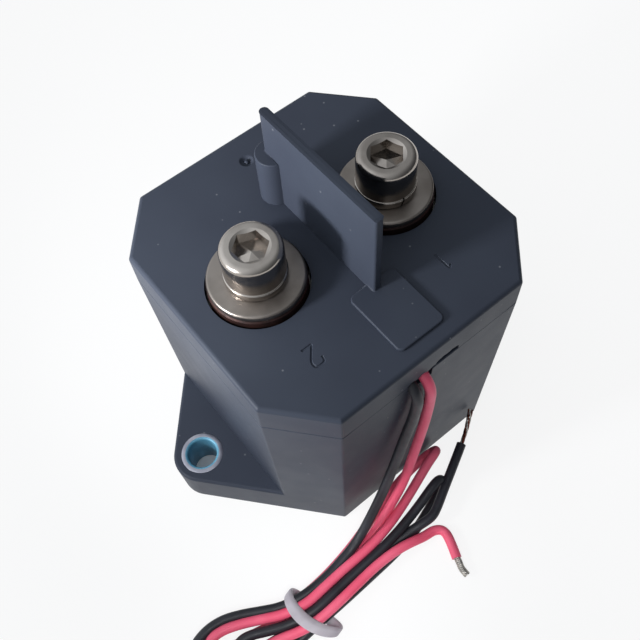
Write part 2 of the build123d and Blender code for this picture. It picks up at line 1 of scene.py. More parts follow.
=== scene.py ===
import bmesh
import bpy
import math
from mathutils import Matrix, Vector


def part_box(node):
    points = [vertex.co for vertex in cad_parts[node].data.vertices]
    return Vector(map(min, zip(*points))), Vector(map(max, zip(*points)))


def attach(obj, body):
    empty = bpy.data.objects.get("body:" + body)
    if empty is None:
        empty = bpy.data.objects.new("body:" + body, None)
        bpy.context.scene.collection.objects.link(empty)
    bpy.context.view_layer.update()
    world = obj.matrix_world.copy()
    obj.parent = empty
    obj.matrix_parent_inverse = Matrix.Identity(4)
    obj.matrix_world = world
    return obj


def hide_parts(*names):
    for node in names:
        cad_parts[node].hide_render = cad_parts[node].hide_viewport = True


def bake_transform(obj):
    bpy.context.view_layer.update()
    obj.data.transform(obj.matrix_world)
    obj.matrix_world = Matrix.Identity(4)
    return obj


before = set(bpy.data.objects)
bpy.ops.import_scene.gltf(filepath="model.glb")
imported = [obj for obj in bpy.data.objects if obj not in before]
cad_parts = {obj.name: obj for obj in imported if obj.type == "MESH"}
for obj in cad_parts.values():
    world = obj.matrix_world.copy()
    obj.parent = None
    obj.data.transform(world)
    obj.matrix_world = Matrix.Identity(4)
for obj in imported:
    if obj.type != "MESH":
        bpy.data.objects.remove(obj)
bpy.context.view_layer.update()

# The photograph's view
# A hand-held shot from close above the lead side, with the left terminal nearest.
# The lens sees the case in strong perspective, so the walls narrow towards the foot.
bpy.context.scene.view_settings.view_transform = "Standard"
camera_place = Vector((-0.05642, -0.07807, 0.20430))
azimuth, elevation, roll = math.radians(-34.59), math.radians(60.81), math.radians(-5.03)
back = Vector((
    math.sin(azimuth) * math.cos(elevation),
    -math.cos(azimuth) * math.cos(elevation),
    math.sin(elevation),
))
level = (-back).cross(Vector((0, 0, 1))).normalized()
upright = level.cross(-back)
across = level * math.cos(roll) + upright * math.sin(roll)
upwards = -level * math.sin(roll) + upright * math.cos(roll)
bpy.ops.object.camera_add()
camera = bpy.context.object
turn = Matrix((across, upwards, back)).transposed().to_4x4()
camera.matrix_world = Matrix.Translation(camera_place) @ turn
camera.data.lens = 46.08
camera.data.sensor_width = 36.0
camera.data.clip_start = 0.01
bpy.context.scene.camera = camera

# Studio
# A white sheet under a hazy sky. The near window, low on the left, throws the screw's shadow over
# the cover and up the barrier, and a small lamp opens the shadows of the hank. The sheet glows
# for the lens and in reflections only; under the ears' bores its glow is cut down to a trace,
# which paints shade on the floor seen through them.


def object_noise(nodes, links, scale, detail=4.0, stretch=(1, 1, 1)):
    """Noise that stays with the piece, on its own coordinates in metres."""
    place = nodes.new("ShaderNodeTexCoord")
    mapping = nodes.new("ShaderNodeMapping")
    mapping.inputs["Scale"].default_value = stretch
    noise = nodes.new("ShaderNodeTexNoise")
    noise.inputs["Scale"].default_value = scale
    noise.inputs["Detail"].default_value = detail
    links.new(place.outputs["Object"], mapping.inputs["Vector"])
    links.new(mapping.outputs["Vector"], noise.inputs["Vector"])
    return noise


def ramp(nodes, links, value, stops):
    """A colour ramp over a value, with sRGB colours given as 0 to 255."""
    node = nodes.new("ShaderNodeValToRGB")
    while len(node.color_ramp.elements) < len(stops):
        node.color_ramp.elements.new(0.5)
    for element, (position, colour) in zip(node.color_ramp.elements, stops):
        element.position = position
        element.color = (*[(c / 255) ** 2.2 for c in colour], 1)
    links.new(value, node.inputs["Fac"])
    return node


def finish(
    name, colours, patch=60, rough=(0.4, 0.5), grain=4000, bump=0.02, metallic=0.0,
    stretch=(1, 1, 1), spread=(0.35, 0.65),
):
    """A material with tones in soft patches, uneven gloss and a fine surface grain.

    Patch and grain are noise scales, and bump is the grain's height in millimetres.
    """
    material = bpy.data.materials.new(name)
    material.use_nodes = True
    nodes, links = material.node_tree.nodes, material.node_tree.links
    shader = nodes["Principled BSDF"]
    shader.inputs["Metallic"].default_value = metallic
    patches = object_noise(nodes, links, patch, 3.0)
    steps = len(colours) - 1
    stops = [(spread[0] + (spread[1] - spread[0]) * i / steps, c) for i, c in enumerate(colours)]
    tone = ramp(nodes, links, patches.outputs["Fac"], stops)
    links.new(tone.outputs["Color"], shader.inputs["Base Color"])
    wear = object_noise(nodes, links, patch * 7, 5.0, stretch)
    gloss = nodes.new("ShaderNodeMapRange")
    gloss.inputs["From Min"].default_value = 0.3
    gloss.inputs["From Max"].default_value = 0.7
    gloss.inputs["To Min"].default_value = rough[0]
    gloss.inputs["To Max"].default_value = rough[1]
    links.new(wear.outputs["Fac"], gloss.inputs["Value"])
    links.new(gloss.outputs["Result"], shader.inputs["Roughness"])
    fine = object_noise(nodes, links, grain, 2.0, stretch)
    relief = nodes.new("ShaderNodeBump")
    relief.inputs["Strength"].default_value = 0.5
    relief.inputs["Distance"].default_value = bump / 1000
    links.new(fine.outputs["Fac"], relief.inputs["Height"])
    links.new(relief.outputs["Normal"], shader.inputs["Normal"])
    return material


def lamp(name, place, aim, size, power, colour, spread):
    """A square soft lamp with a grid that keeps its light within an angle, in degrees."""
    bpy.ops.object.light_add(type="AREA", location=place)
    light = bpy.context.object
    light.name = name
    light.data.size = size
    light.data.energy = power
    light.data.color = colour
    light.data.spread = math.radians(spread)
    light.rotation_euler = (Vector(aim) - Vector(place)).to_track_quat("-Z", "Y").to_euler()


daylight = (0.98, 0.985, 1.0)
lamp(
    "window_lamp", place=(-0.165, 0.014, 0.118), aim=(-0.01, 0.03, 0.085),
    size=0.028, power=0.128, colour=daylight, spread=80,
)
lamp(
    "hank_lamp", place=(-0.058, -0.075, 0.10), aim=(-0.038, -0.044, 0),
    size=0.03, power=0.005, colour=daylight, spread=50,
)

# The sky is brighter towards the window, and plain white where the lens looks past the sheet.
window_way = (-0.72, 0.50, 0.48)
sky = bpy.data.worlds.new("studio_sky")
sky.use_nodes = True
sky_nodes, sky_links = sky.node_tree.nodes, sky.node_tree.links
aim_at = sky_nodes.new("ShaderNodeTexCoord")
towards_window = sky_nodes.new("ShaderNodeVectorMath")
towards_window.operation = "DOT_PRODUCT"
towards_window.inputs[1].default_value = window_way
sky_links.new(aim_at.outputs["Generated"], towards_window.inputs[0])
nearness = sky_nodes.new("ShaderNodeMapRange")
nearness.inputs["From Min"].default_value = -1.0
nearness.inputs["From Max"].default_value = 1.0
sky_links.new(towards_window.outputs["Value"], nearness.inputs["Value"])
fade = sky_nodes.new("ShaderNodeMath")
fade.operation = "POWER"
fade.inputs[1].default_value = 2.4
sky_links.new(nearness.outputs["Result"], fade.inputs[0])
brightness = sky_nodes.new("ShaderNodeMapRange")
brightness.inputs["To Min"].default_value = 0.09
brightness.inputs["To Max"].default_value = 1.45
sky_links.new(fade.outputs["Value"], brightness.inputs["Value"])
sky_nodes["Background"].inputs["Color"].default_value = (0.90, 0.95, 1.0, 1)
sky_links.new(brightness.outputs["Result"], sky_nodes["Background"].inputs["Strength"])
backdrop = sky_nodes.new("ShaderNodeBackground")
backdrop.inputs["Color"].default_value = (0.95, 0.95, 0.95, 1)
sky_ray = sky_nodes.new("ShaderNodeLightPath")
sky_blend = sky_nodes.new("ShaderNodeMixShader")
sky_links.new(sky_ray.outputs["Is Camera Ray"], sky_blend.inputs["Fac"])
sky_links.new(sky_nodes["Background"].outputs["Background"], sky_blend.inputs[1])
sky_links.new(backdrop.outputs["Background"], sky_blend.inputs[2])
sky_links.new(sky_blend.outputs["Shader"], sky_nodes["World Output"].inputs["Surface"])
bpy.context.scene.world = sky

ear_hole_x = 41.5
bpy.ops.mesh.primitive_plane_add(size=6)
floor = bpy.context.object
floor.name = "floor"
white_sheet = finish(
    "white_sheet", [(248, 248, 248), (252, 252, 252)],
    patch=3, rough=(0.8, 0.9), grain=300, bump=0.05,
)
sheet_nodes, sheet_links = white_sheet.node_tree.nodes, white_sheet.node_tree.links
ray = sheet_nodes.new("ShaderNodeLightPath")
seen = sheet_nodes.new("ShaderNodeMath")
seen.operation = "MAXIMUM"
sheet_links.new(ray.outputs["Is Camera Ray"], seen.inputs[0])
sheet_links.new(ray.outputs["Is Glossy Ray"], seen.inputs[1])
sheet_place = sheet_nodes.new("ShaderNodeTexCoord")
either_side = sheet_nodes.new("ShaderNodeVectorMath")
either_side.operation = "ABSOLUTE"
sheet_links.new(sheet_place.outputs["Object"], either_side.inputs[0])
# Painted shade: within the bores' reach the glow is cut down to a trace, so the floor seen through
# the ears reads dark.
from_bore = sheet_nodes.new("ShaderNodeVectorMath")
from_bore.operation = "DISTANCE"
from_bore.inputs[1].default_value = (ear_hole_x / 1000, 0, 0)
sheet_links.new(either_side.outputs["Vector"], from_bore.inputs[0])
glow_with_bore_shade = sheet_nodes.new("ShaderNodeMapRange")
glow_with_bore_shade.inputs["From Min"].default_value = 0.0044
glow_with_bore_shade.inputs["From Max"].default_value = 0.0046
glow_with_bore_shade.inputs["To Min"].default_value = 0.06
glow_with_bore_shade.inputs["To Max"].default_value = 0.85
sheet_links.new(from_bore.outputs["Value"], glow_with_bore_shade.inputs["Value"])
share = sheet_nodes.new("ShaderNodeMath")
share.operation = "MULTIPLY"
sheet_links.new(seen.outputs["Value"], share.inputs[0])
sheet_links.new(glow_with_bore_shade.outputs["Result"], share.inputs[1])
glow = sheet_nodes.new("ShaderNodeEmission")
blend = sheet_nodes.new("ShaderNodeMixShader")
sheet_links.new(share.outputs["Value"], blend.inputs["Fac"])
sheet_links.new(sheet_nodes["Principled BSDF"].outputs["BSDF"], blend.inputs[1])
sheet_links.new(glow.outputs["Emission"], blend.inputs[2])
sheet_links.new(blend.outputs["Shader"], sheet_nodes["Material Output"].inputs["Surface"])
floor.data.materials.append(white_sheet)

# Case
# A deep cup moulded in dark slate nylon, with two solid ears. Its skin is satin from a spark
# eroded mould, and a few bright specks of dust lie on it.


def dress(material, *names):
    """Give CAD nodes their material."""
    for name in names:
        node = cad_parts[name]
        if not node.material_slots:
            node.data.materials.append(material)
        for slot in node.material_slots:
            slot.material = material


case_plastic = finish(
    "slate_nylon", [(53, 57, 67), (59, 64, 74)],
    patch=25, rough=(0.42, 0.47), grain=5000, bump=0.03,
)
nylon_nodes, nylon_links = case_plastic.node_tree.nodes, case_plastic.node_tree.links
nylon = nylon_nodes["Principled BSDF"]
nylon.inputs["Specular IOR Level"].default_value = 0.13
dust_place = nylon_nodes.new("ShaderNodeTexCoord")
dust = nylon_nodes.new("ShaderNodeTexVoronoi")
dust.inputs["Scale"].default_value = 260
nylon_links.new(dust_place.outputs["Object"], dust.inputs["Vector"])
speck = nylon_nodes.new("ShaderNodeMapRange")
speck.inputs["From Min"].default_value = 0.035
speck.inputs["From Max"].default_value = 0.075
speck.inputs["To Min"].default_value = 0.35
speck.inputs["To Max"].default_value = 0.0
nylon_links.new(dust.outputs["Distance"], speck.inputs["Value"])
dusty = nylon_nodes.new("ShaderNodeMix")
dusty.data_type = "RGBA"
nylon_links.new(speck.outputs["Result"], dusty.inputs["Factor"])
nylon_links.new(nylon.inputs["Base Color"].links[0].from_socket, dusty.inputs["A"])
dusty.inputs["B"].default_value = (0.30, 0.31, 0.33, 1)
nylon_links.new(dusty.outputs["Result"], nylon.inputs["Base Color"])
dress(case_plastic, "housing")

# Mounting bushings
# Short steel tubes pressed into the ears, so that the bolt clamps metal and not plastic.
# They are zinc plated, with a blue passivated bore.
bushing_height, bushing_size, bushing_bore = 12.0, 10.4, 7.1
mouth_round, rim_round = 0.65, 0.15
blue_reach = 4.12
near = 0.01  # heights in millimetres that differ by less are the same
zinc = finish(
    "blue_zinc", [(146, 146, 157), (180, 180, 190)],
    patch=200, rough=(0.28, 0.42), grain=5000, bump=0.02, metallic=1.0,
)
blue_bore = finish(
    "blue_bore", [(78, 132, 156), (98, 152, 176)],
    patch=300, rough=(0.35, 0.5), grain=5000, bump=0.02, metallic=0.2,
)


def only(piece):
    """Make one piece the only selected and the active one."""
    bpy.ops.object.select_all(action="DESELECT")
    piece.select_set(True)
    bpy.context.view_layer.objects.active = piece


def pick(kind, test):
    """In edit mode, select the parts of one kind whose points, in millimetres, all pass a test."""
    bpy.ops.mesh.select_mode(type=kind)
    bpy.ops.mesh.select_all(action="DESELECT")
    mesh = bmesh.from_edit_mesh(bpy.context.edit_object.data)
    parts = {"VERT": mesh.verts, "EDGE": mesh.edges, "FACE": mesh.faces}[kind]
    for part in parts:
        points = [part] if kind == "VERT" else part.verts
        part.select = all(test(point.co * 1000) for point in points)
    mesh.select_flush_mode()
    bmesh.update_edit_mesh(bpy.context.edit_object.data)


def round_ring(name, outer, inner, low, high, x, y=0.0, sides=96):
    """A flat ring: an upright cylinder whose ends are inset and bridged. Sizes in millimetres."""
    bpy.ops.object.select_all(action="DESELECT")
    bpy.ops.mesh.primitive_cylinder_add(
        vertices=sides, radius=outer / 2000, depth=(high - low) / 1000,
        location=(x / 1000, y / 1000, (low + high) / 2000),
    )
    ring = bpy.context.object
    ring.name = name
    bpy.ops.object.transform_apply(location=True)
    bpy.ops.object.mode_set(mode="EDIT")
    bpy.ops.mesh.select_mode(type="FACE")
    bpy.ops.mesh.select_all(action="DESELECT")
    mesh = bmesh.from_edit_mesh(ring.data)
    for face in mesh.faces:
        face.select = abs(face.normal.z) > 0.9
    bmesh.update_edit_mesh(ring.data)
    bpy.ops.mesh.inset(thickness=(outer - inner) / 2000)
    bpy.ops.mesh.bridge_edge_loops()
    return ring


def soften(radius, width, height, segments, x, y=0.0):
    """Bevel the round rim at a radius and height of the piece in edit mode."""
    def on_rim(point):
        reach = math.hypot(point.x - x, point.y - y)
        return abs(reach - radius) < 3 * near and abs(point.z - height) < near
    pick("EDGE", on_rim)
    bpy.ops.mesh.bevel(offset=width / 1000, segments=segments, affect="EDGES")


def end_edit(piece, angle=35):
    """Leave edit mode with clean normals and soft shading on shallow edges."""
    bpy.ops.mesh.select_all(action="SELECT")
    bpy.ops.mesh.normals_make_consistent(inside=False)
    bpy.ops.object.mode_set(mode="OBJECT")
    only(piece)
    bpy.ops.object.shade_smooth_by_angle(angle=math.radians(angle))


for side, end in ((-1, "left"), (1, "right")):
    x = side * ear_hole_x
    bushing = round_ring(f"bushing_{end}", bushing_size, bushing_bore, 0.0, bushing_height, x)
    for height in (0.0, bushing_height):
        soften(bushing_bore / 2, mouth_round, height, 4, x)
        soften(bushing_size / 2, rim_round, height, 2, x)
    bushing.data.materials.append(zinc)
    bushing.data.materials.append(blue_bore)
    end_edit(bushing)
    for face in bushing.data.polygons:
        reach = math.hypot(face.center.x - x / 1000, face.center.y)
        face.material_index = 1 if reach < blue_reach / 1000 else 0
    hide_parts(f"mounting_bushing_{end}")
    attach(bushing, "case_body")

# Magnetic circuit
# A folded strap of thick iron and a plate close the field round the coil. Both are zinc plated
# after bending, which leaves a faint crystalline bloom.
plated_iron = finish(
    "plated_iron", [(128, 132, 136), (158, 162, 166), (142, 146, 151)],
    patch=260, rough=(0.32, 0.5), grain=3500, bump=0.02, metallic=1.0,
)
dress(plated_iron, "yoke_frame", "yoke_plate", "magnet_yoke_front", "magnet_yoke_back")

# Coil
# Enamelled copper wire, wound in even layers on a moulded bobbin. Two tinned pins in the bobbin's
# flange carry the wire ends and the leads.
bobbin_plastic = finish(
    "bobbin_plastic", [(206, 198, 178), (220, 213, 195)],
    patch=60, rough=(0.42, 0.55), grain=3500, bump=0.02,
)
dress(bobbin_plastic, "coil_bobbin")
enamel = finish(
    "copper_enamel", [(136, 62, 34), (166, 80, 44)],
    patch=120, rough=(0.25, 0.38), grain=4000, bump=0.01, metallic=0.55,
)
enamel_nodes, enamel_links = enamel.node_tree.nodes, enamel.node_tree.links
wire_place = enamel_nodes.new("ShaderNodeTexCoord")
turns = enamel_nodes.new("ShaderNodeTexWave")
turns.bands_direction = "Z"
# The wave texture runs through 20 radians in a length of one over its scale.
band_pitch = 0.003
turns.inputs["Scale"].default_value = 2 * math.pi / (20 * band_pitch)
turns.inputs["Distortion"].default_value = 0.4
enamel_links.new(wire_place.outputs["Object"], turns.inputs["Vector"])
wire_relief = enamel_nodes.new("ShaderNodeBump")
wire_relief.inputs["Strength"].default_value = 0.9
wire_relief.inputs["Distance"].default_value = 0.00012
enamel_links.new(turns.outputs["Fac"], wire_relief.inputs["Height"])
enamel_links.new(wire_relief.outputs["Normal"], enamel_nodes["Principled BSDF"].inputs["Normal"])
dress(enamel, "coil_winding")
tinned = finish(
    "tinned_copper", [(150, 146, 140), (200, 194, 186)],
    patch=900, rough=(0.32, 0.46), grain=9000, bump=0.02, metallic=1.0,
)
dress(tinned, "coil_pins")

# Plunger
# A soft iron core slides in a drawn stainless cup and lifts the contact bar with its shaft. It
# squeezes two coiled steel springs, one against the fixed core and one below the bar, and a
# rubber pad stops it quietly when it falls back.
soft_iron = finish(
    "soft_iron", [(122, 120, 114), (148, 145, 138)],
    patch=150, rough=(0.28, 0.42), grain=5000, bump=0.015, metallic=1.0, stretch=(1, 1, 9),
)
dress(soft_iron, "plunger", "fixed_core")
drawn_steel = finish(
    "drawn_steel", [(156, 154, 150), (182, 180, 175)],
    patch=90, rough=(0.16, 0.3), grain=6000, bump=0.01, metallic=1.0, stretch=(6, 6, 0.5),
)
dress(drawn_steel, "plunger_sleeve", "plunger_shaft")
spring_wire = finish(
    "spring_wire", [(112, 112, 114), (144, 144, 146)],
    patch=300, rough=(0.25, 0.38), grain=7000, bump=0.01, metallic=1.0,
)
dress(spring_wire, "spring_seat", "retaining_clip")


def merged_copy(node, name, same_point=0.000002, flat_within=0.5):
    """A copy of a CAD node with its triangles joined into whole faces."""
    piece = bpy.data.objects.new(name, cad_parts[node].data.copy())
    bpy.context.scene.collection.objects.link(piece)
    only(piece)
    bpy.ops.object.mode_set(mode="EDIT")
    bpy.ops.mesh.select_all(action="SELECT")
    bpy.ops.mesh.remove_doubles(threshold=same_point)
    bpy.ops.mesh.dissolve_limited(angle_limit=math.radians(flat_within))
    bpy.ops.object.mode_set(mode="OBJECT")
    return piece


for node, name, held_by, pressed_by in (
    ("return_spring", "return_coil", "case_body", "plunger_body"),
    ("contact_spring", "contact_coil", "plunger_body", "contact_body"),
):
    coil = merged_copy(node, name)
    coil.data.materials.clear()
    coil.data.materials.append(spring_wire)
    ends = [(0, 0, corner[2]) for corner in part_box(node)]
    # The return spring is held by its upper end.
    if node == "return_spring":
        ends.reverse()
    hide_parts(node)
    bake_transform(coil)

rubber = finish(
    "black_rubber", [(24, 24, 25), (35, 35, 36)],
    patch=150, rough=(0.65, 0.8), grain=3000, bump=0.03,
)
dress(rubber, "plunger_buffer")

# Arc chamber
# A white alumina box, glazed outside, that the copper posts pass through. A thin alloy frame
# joins it to the plate, and an insulating board closes it below. Magnets drive the arc apart.
alumina = finish(
    "alumina", [(226, 222, 213), (238, 235, 228)],
    patch=40, rough=(0.25, 0.45), grain=2500, bump=0.02,
)
dress(alumina, "arc_chamber")
sealing_alloy = finish(
    "sealing_alloy", [(132, 128, 120), (160, 156, 147)],
    patch=160, rough=(0.28, 0.42), grain=5000, bump=0.015, metallic=1.0,
)
dress(sealing_alloy, "chamber_weld_frame")
fibre_board = finish(
    "fibre_board", [(112, 82, 52), (134, 101, 66)],
    patch=220, rough=(0.5, 0.65), grain=2500, bump=0.03, stretch=(1, 8, 1),
)
dress(fibre_board, "chamber_base_plate")
ferrite = finish(
    "ferrite", [(46, 46, 48), (60, 60, 62)],
    patch=200, rough=(0.45, 0.6), grain=2600, bump=0.04,
)
dress(ferrite, "blowout_magnet_front", "blowout_magnet_back")

# Contacts
# Copper posts with wide heads, and the copper bar that bridges them below. The posts are coloured
# a very dark red brown, which is painted shade for where they show in the shadow under the washers.
contact_copper = finish(
    "contact_copper", [(168, 92, 66), (198, 120, 90)],
    patch=140, rough=(0.28, 0.42), grain=5000, bump=0.015, metallic=1.0,
)
dress(contact_copper, "moving_contact")
# Painted shade: the posts' very dark colour stands in for the shadow under the washers.
painted_shade_copper = finish(
    "painted_shade_copper", [(32, 19, 18), (54, 31, 27)],
    patch=260, rough=(0.5, 0.68), grain=5000, bump=0.02, metallic=0.6,
)
dress(painted_shade_copper, "terminal_post_1", "terminal_post_2")

# Cover
# The lid is moulded in the same nylon and bonded to the cup, which leaves a fine groove along the
# seam. The mould engraves a rounded number beside each terminal, which reads from the far side,
# and gives the lead slot a scalloped top.
seam, pad_top, boss_top, barrier_top = 58.5, 67.2, 79.1, 90.0
seam_groove, inner_reach = 0.22, 42
stroke_height, stroke_radius = 66.70, 0.3
slot_wall, scallop_radius, scallop_length = -32.0, 0.9, 6.0


def carve(piece, cutter):
    """Cut one piece out of another and remove the cutter."""
    only(piece)
    cut = piece.modifiers.new("cut", "BOOLEAN")
    cut.operation = "DIFFERENCE"
    cut.solver = "EXACT"
    cut.object = cutter
    bpy.ops.object.modifier_apply(modifier="cut")
    bpy.data.objects.remove(cutter)


cover = merged_copy("top_cover", "cover")
bpy.ops.object.mode_set(mode="EDIT")
for height, width in ((pad_top, 0.3), (boss_top, 0.25), (barrier_top, 0.3)):
    pick("EDGE", lambda point: abs(point.z - height) < near)
    bpy.ops.mesh.bevel(offset=width / 1000, segments=3, affect="EDGES")
pick(
    "EDGE",
    lambda point: abs(point.z - seam) < near and abs(point.x) + abs(point.y) > inner_reach,
)
bpy.ops.mesh.bevel(offset=seam_groove / 1000, segments=1, affect="EDGES")
bpy.ops.object.mode_set(mode="OBJECT")
# The 2 by the left terminal and then the 1 by the right one, stroke by stroke.
strokes = [
    [
        (-17.3, -20.9), (-17.35, -22.1), (-18.6, -22.35), (-19.8, -22.1), (-19.75, -20.7),
        (-18.6, -19.4), (-17.25, -17.75),
    ],
    [(-17.25, -17.75), (-18.5, -17.75), (-19.75, -17.75)],
    [(15.2, -21.55), (14.75, -21.9), (14.28, -22.25)],
    [(14.28, -22.25), (14.25, -20.1), (14.2, -17.95)],
]
for stroke in strokes:
    curve = bpy.data.curves.new("groove", "CURVE")
    curve.dimensions = "3D"
    curve.bevel_depth = stroke_radius / 1000
    curve.bevel_resolution = 3
    curve.use_fill_caps = True
    line = curve.splines.new("NURBS")
    line.points.add(len(stroke) - 1)
    for point, (east, north) in zip(line.points, stroke):
        point.co = (east / 1000, north / 1000, stroke_height / 1000, 1)
    line.order_u = 3
    line.use_endpoint_u = True
    cutter = bpy.data.objects.new("groove", curve)
    bpy.context.scene.collection.objects.link(cutter)
    only(cutter)
    bpy.ops.object.convert(target="MESH")
    carve(cover, bpy.context.object)
# Five scallops along the slot's top, beside the leads.
for east, height in ((1.6, 59.3), (2.7, 59.55), (3.8, 59.45), (4.9, 59.65), (5.9, 59.4)):
    bpy.ops.mesh.primitive_cylinder_add(
        vertices=24, radius=scallop_radius / 1000, depth=scallop_length / 1000,
        location=(east / 1000, slot_wall / 1000, height / 1000), rotation=(math.pi / 2, 0, 0),
    )
    bpy.ops.object.transform_apply(location=True, rotation=True)
    carve(cover, bpy.context.object)
cover.data.materials.clear()
cover.data.materials.append(case_plastic)
only(cover)
bpy.ops.object.shade_smooth_by_angle(angle=math.radians(32))
weigh = cover.modifiers.new("weigh", "WEIGHTED_NORMAL")
weigh.keep_sharp = True
bpy.ops.object.modifier_apply(modifier="weigh")
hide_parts("top_cover")
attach(cover, "case_body")

# Flat washers
# Wide washers, stamped from stainless sheet, which rolls their upper edge. The screws clamp
# them on the copper posts.
terminal_x = 16.75
post_top, washer_top = 68.0, 69.6
washer_size, washer_hole = 20.0, 8.4
rolled_edge, sheared_edge = 0.55, 0.2
washer_steel = finish(
    "washer_steel", [(120, 113, 107), (143, 136, 130)],
    patch=120, rough=(0.32, 0.43), grain=6000, bump=0.01, metallic=1.0,
)
for number, x in ((1, terminal_x), (2, -terminal_x)):
    washer = round_ring(
        f"flat_washer_{number}", washer_size, washer_hole, post_top, washer_top, x, sides=128,
    )
    soften(washer_size / 2, rolled_edge, washer_top, 5, x)
    soften(washer_size / 2, sheared_edge, post_top, 2, x)
    washer.data.materials.append(washer_steel)
    end_edit(washer)
    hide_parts("flat_washers")
    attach(washer, "case_body")

# Spring washers
# Split rings of square stainless wire. The screw has flattened them, which leaves a thin
# slanted slit.
spring_top = 71.6
ring_reach, ring_width, ring_corner = 5.3, 2.35, 0.4
slit_angle, slit_slant = 3.5, 60
stainless = finish(
    "stainless_steel", [(146, 139, 133), (176, 169, 162)],
    patch=120, rough=(0.16, 0.24), grain=6000, bump=0.004, metallic=1.0,
)
for number, x, split in ((1, terminal_x, -101.0), (2, -terminal_x, 65.0)):
    bpy.ops.object.select_all(action="DESELECT")
    bpy.ops.mesh.primitive_plane_add(size=0.001, location=(0, 0, 0), rotation=(math.pi / 2, 0, 0))
    washer = bpy.context.object
    washer.name = f"spring_washer_{number}"
    bpy.ops.object.transform_apply(location=True, rotation=True)
    bpy.ops.object.mode_set(mode="EDIT")
    bpy.ops.mesh.select_all(action="SELECT")
    bpy.ops.transform.resize(value=(ring_width, 1, spring_top - washer_top))
    bpy.ops.mesh.bevel(offset=ring_corner / 1000, segments=4, affect="VERTICES")
    bpy.ops.mesh.select_all(action="SELECT")
    middle = (washer_top + spring_top) / 2000
    bpy.ops.transform.translate(value=((x + ring_reach) / 1000, 0, middle))
    bpy.ops.mesh.spin(
        steps=90, angle=math.radians(360 - slit_angle), center=(x / 1000, 0, 0), axis=(0, 0, 1),
    )
    bpy.ops.mesh.select_all(action="SELECT")
    bpy.ops.mesh.normals_make_consistent(inside=False)
    bpy.ops.object.mode_set(mode="OBJECT")
    for vertex in washer.data.vertices:
        lean = math.radians(split) + (vertex.co.z - middle) * slit_slant
        east, north = vertex.co.x - x / 1000, vertex.co.y
        vertex.co.x = x / 1000 + east * math.cos(lean) - north * math.sin(lean)
        vertex.co.y = east * math.sin(lean) + north * math.cos(lean)
    only(washer)
    bpy.ops.object.shade_smooth_by_angle(angle=math.radians(35))
    washer.data.materials.append(stainless)
    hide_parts("spring_washers")
    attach(washer, "case_body")

# Terminal screws
# Cold headed M8 socket screws with a smooth polished head. The hexagon socket has a turned
# lead-in at its mouth, and a floor with six shallow facets that the punch has left.
head_low, head_high, head_radius = spring_top, 79.4, 6.25
crown_round, foot_round, facet_angle = 1.35, 0.3, 12
socket_flats, socket_depth, socket_cutter, floor_dip = 6.4, 2.9, 4.5, 0.9
mouth_small, mouth_wide, mouth_height, mouth_sink = 1.6, 4.8, 1.6, 0.4
shank_radius, shank_length, shank_chamfer = 4.0, 16.0, 0.8
for number, x, turned in ((1, terminal_x, 19.0), (2, -terminal_x, 7.0)):
    bpy.ops.object.select_all(action="DESELECT")
    bpy.ops.mesh.primitive_cylinder_add(
        vertices=128, radius=head_radius / 1000, depth=(head_high - head_low) / 1000,
        location=(x / 1000, 0, (head_low + head_high) / 2000),
    )
    screw = bpy.context.object
    screw.name = f"terminal_screw_{number}"
    bpy.ops.object.transform_apply(location=True)
    bpy.ops.mesh.primitive_cylinder_add(
        vertices=6, radius=socket_flats / 1000 / math.sqrt(3), depth=socket_cutter / 1000,
        location=(x / 1000, 0, (head_high - socket_depth + socket_cutter / 2) / 1000),
        rotation=(0, 0, math.radians(turned)),
    )
    socket = bpy.context.object
    bpy.ops.object.transform_apply(location=True, rotation=True)
    bpy.ops.object.mode_set(mode="EDIT")
    pick("FACE", lambda point: abs(point.z - (head_high - socket_depth)) < near)
    bpy.ops.mesh.poke(offset=-floor_dip / 1000)
    bpy.ops.object.mode_set(mode="OBJECT")
    bpy.ops.mesh.primitive_cone_add(
        vertices=96, radius1=mouth_small / 1000, radius2=mouth_wide / 1000,
        depth=mouth_height / 1000, location=(x / 1000, 0, (head_high - mouth_sink) / 1000),
    )
    mouth = bpy.context.object
    bpy.ops.object.transform_apply(location=True)
    only(screw)
    bpy.ops.object.mode_set(mode="EDIT")
    soften(head_radius, crown_round, head_high, 9, x)
    soften(head_radius, foot_round, head_low, 3, x)
    bpy.ops.object.mode_set(mode="OBJECT")
    carve(screw, socket)
    carve(screw, mouth)
    bpy.ops.mesh.primitive_cylinder_add(
        vertices=48, radius=shank_radius / 1000, depth=shank_length / 1000,
        location=(x / 1000, 0, (head_low - shank_length / 2) / 1000),
    )
    shank = bpy.context.object
    bpy.ops.object.transform_apply(location=True)
    bpy.ops.object.mode_set(mode="EDIT")
    soften(shank_radius, shank_chamfer, head_low - shank_length, 1, x)
    bpy.ops.object.mode_set(mode="OBJECT")
    only(screw)
    shank.select_set(True)
    bpy.ops.object.join()
    screw.data.materials.clear()
    screw.data.materials.append(stainless)
    bpy.ops.object.shade_smooth_by_angle(angle=math.radians(facet_angle))
    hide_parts("terminal_screws")
    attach(screw, "case_body")

# Coil leads
# Two soft PVC hook-up wires, red for plus and black for minus, soldered to the coil pins inside.
# They leave through the slot under the cover, drop to the bench, and are folded into a hank.
lead_diameter = 0.0024


def lead_line(name, points, diameter, material):
    """One lead as a smooth round line through its route."""
    curve = bpy.data.curves.new(name, "CURVE")
    curve.dimensions = "3D"
    curve.bevel_depth = diameter / 2
    curve.bevel_resolution = 6
    curve.resolution_u = 12
    curve.use_fill_caps = True
    line = curve.splines.new("NURBS")
    line.points.add(len(points) - 1)
    for place, point in zip(line.points, points):
        place.co = (point[0] / 1000, point[1] / 1000, point[2] / 1000, 1)
    line.order_u = 3
    line.use_endpoint_u = True
    curve.materials.append(material)
    piece = bpy.data.objects.new(name, curve)
    bpy.context.scene.collection.objects.link(piece)
    return piece


